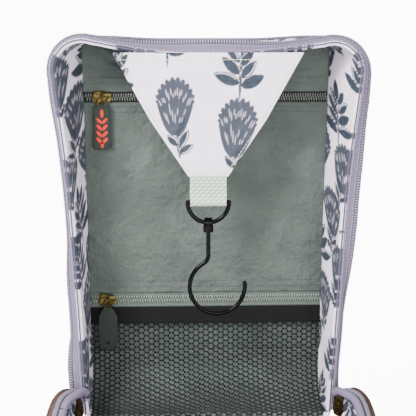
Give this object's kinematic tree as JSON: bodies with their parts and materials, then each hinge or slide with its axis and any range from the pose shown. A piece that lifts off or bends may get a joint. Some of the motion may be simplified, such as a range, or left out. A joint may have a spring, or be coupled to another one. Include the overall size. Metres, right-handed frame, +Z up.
{
  "type": "hanging toiletry bag",
  "caption": "Soft clamshell wash bag that opens flat or stands open, with a fold-out swivel hanging hook on a flap, zip pockets and a net pocket in its lid.",
  "frame": {"origin": "centre of the base tray's underside, where it rests on a table", "axes": "+Z up, out of the base's mouth; -Y to the front, away from the lid; X across the bag"},
  "size_m": [0.2098, 0.3134, 0.3194],
  "materials": {
    "print_fabric": "woven polyester with a grey-blue flower print, slight sheen",
    "foam": "thin laminated padding",
    "lining": "matte grey-green nylon taffeta",
    "main_tape": "lilac woven zip tape",
    "main_coil": "lilac nylon coil",
    "pocket_tape": "dark grey-green zip tape",
    "pocket_coil": "dark coil with a metallic sheen",
    "black_band": "black ribbed binding",
    "black_net": "black knitted net",
    "webbing": "pale woven webbing",
    "black_wire": "gloss black enamelled steel wire",
    "brass": "antique brass, worn bright at the edges",
    "tag_rubber": "soft dark green moulded rubber"
  },
  "bodies": {
    "base": {"base_gusset_outer": "print_fabric", "base_gusset_foam": "foam", "base_gusset_lining": "print_fabric", "base_bottom_lining": "lining", "base_bottom_foam": "foam", "base_bottom_outer": "print_fabric", "base_zip_tape": "main_tape", "base_zip_coil": "main_coil", "hinge_web": "lining"},
    "lid": {"lid_gusset_outer": "print_fabric", "lid_gusset_foam": "foam", "lid_gusset_lining": "print_fabric", "lid_back_lining": "lining", "lid_back_foam": "foam", "lid_back_outer": "print_fabric", "lid_zip_tape": "main_tape", "lid_zip_coil": "main_coil", "pocket_header": "lining", "top_zip_tape": "pocket_tape", "top_zip_coil": "pocket_coil", "pocket_front": "lining", "mesh_zip_tape": "pocket_tape", "mesh_zip_coil": "pocket_coil", "mesh_band": "black_band", "mesh_net": "black_net"},
    "flap": {"flap_lining": "print_fabric", "flap_print": "print_fabric", "webbing_loop": "webbing"},
    "ring": {"d_ring": "black_wire"},
    "eye": {"swivel_eye": "black_wire"},
    "hook": {"hook": "black_wire"},
    "top_slider": {"top_slider": "brass"},
    "top_pull": {"top_pull_link": "brass", "top_pull_tag": "tag_rubber"},
    "mesh_slider": {"mesh_slider": "brass"},
    "mesh_pull": {"mesh_pull_link": "brass", "mesh_pull_tag": "tag_rubber"},
    "left_slider": {"left_main_slider": "brass"},
    "left_pull": {"left_main_pull_link": "brass", "left_main_pull_tag": "tag_rubber"},
    "right_slider": {"right_main_slider": "brass"},
    "right_pull": {"right_main_pull_link": "brass", "right_main_pull_tag": "tag_rubber"}
  },
  "joints": [
    {"name": "lid_fold", "type": "hinge", "parent": "base", "child": "lid", "pos_m": [0, 0.128, 0.0544], "axis": [1, 0, 0], "range_deg": [-90, 88], "deforming": ["hinge_web"]},
    {"name": "flap_fold", "type": "hinge", "parent": "lid", "child": "flap", "pos_m": [0, 0.1287, 0.3084], "axis": [-1, 0, 0], "range_deg": [-2, 180]},
    {"name": "ring_swing", "type": "hinge", "parent": "flap", "child": "ring", "pos_m": [0, 0.1297, 0.2099], "axis": [-1, 0, 0], "range_deg": [-10, 70]},
    {"name": "eye_tilt", "type": "hinge", "parent": "ring", "child": "eye", "pos_m": [0, 0.1297, 0.1962], "axis": [-1, 0, 0], "range_deg": [-4, 45]},
    {"name": "hook_swivel", "type": "hinge", "parent": "eye", "child": "hook", "pos_m": [0, 0.1297, 0.193], "axis": [0, 0, -1], "continuous": true},
    {"name": "top_zip_slide", "type": "slide", "parent": "lid", "child": "top_slider", "axis": [1, 0, 0], "range_m": [0, 0.141]},
    {"name": "top_pull_swing", "type": "hinge", "parent": "top_slider", "child": "top_pull", "pos_m": [-0.07104, 0.16535, 0.2764], "axis": [-1, 0, 0], "range_deg": [0, 130]},
    {"name": "mesh_zip_slide", "type": "slide", "parent": "lid", "child": "mesh_slider", "axis": [1, 0, 0], "range_m": [0, 0.137]},
    {"name": "mesh_pull_swing", "type": "hinge", "parent": "mesh_slider", "child": "mesh_pull", "pos_m": [-0.06909, 0.16535, 0.1344], "axis": [-1, 0, 0], "range_deg": [0, 165]},
    {"name": "left_zip_slide", "type": "slide", "parent": "lid", "child": "left_slider", "axis": [-0.0507, 0, 0.9987], "range_m": [0, 0.2]},
    {"name": "left_pull_swing", "type": "hinge", "parent": "left_slider", "child": "left_pull", "pos_m": [-0.09852, 0.128, 0.0653], "axis": [0, 1, 0], "range_deg": [0, 165]},
    {"name": "right_zip_slide", "type": "slide", "parent": "lid", "child": "right_slider", "axis": [0.0507, 0, 0.9987], "range_m": [0, 0.2]},
    {"name": "right_pull_swing", "type": "hinge", "parent": "right_slider", "child": "right_pull", "pos_m": [0.09852, 0.128, 0.0653], "axis": [0, -1, 0], "range_deg": [0, 165]}
  ]
}
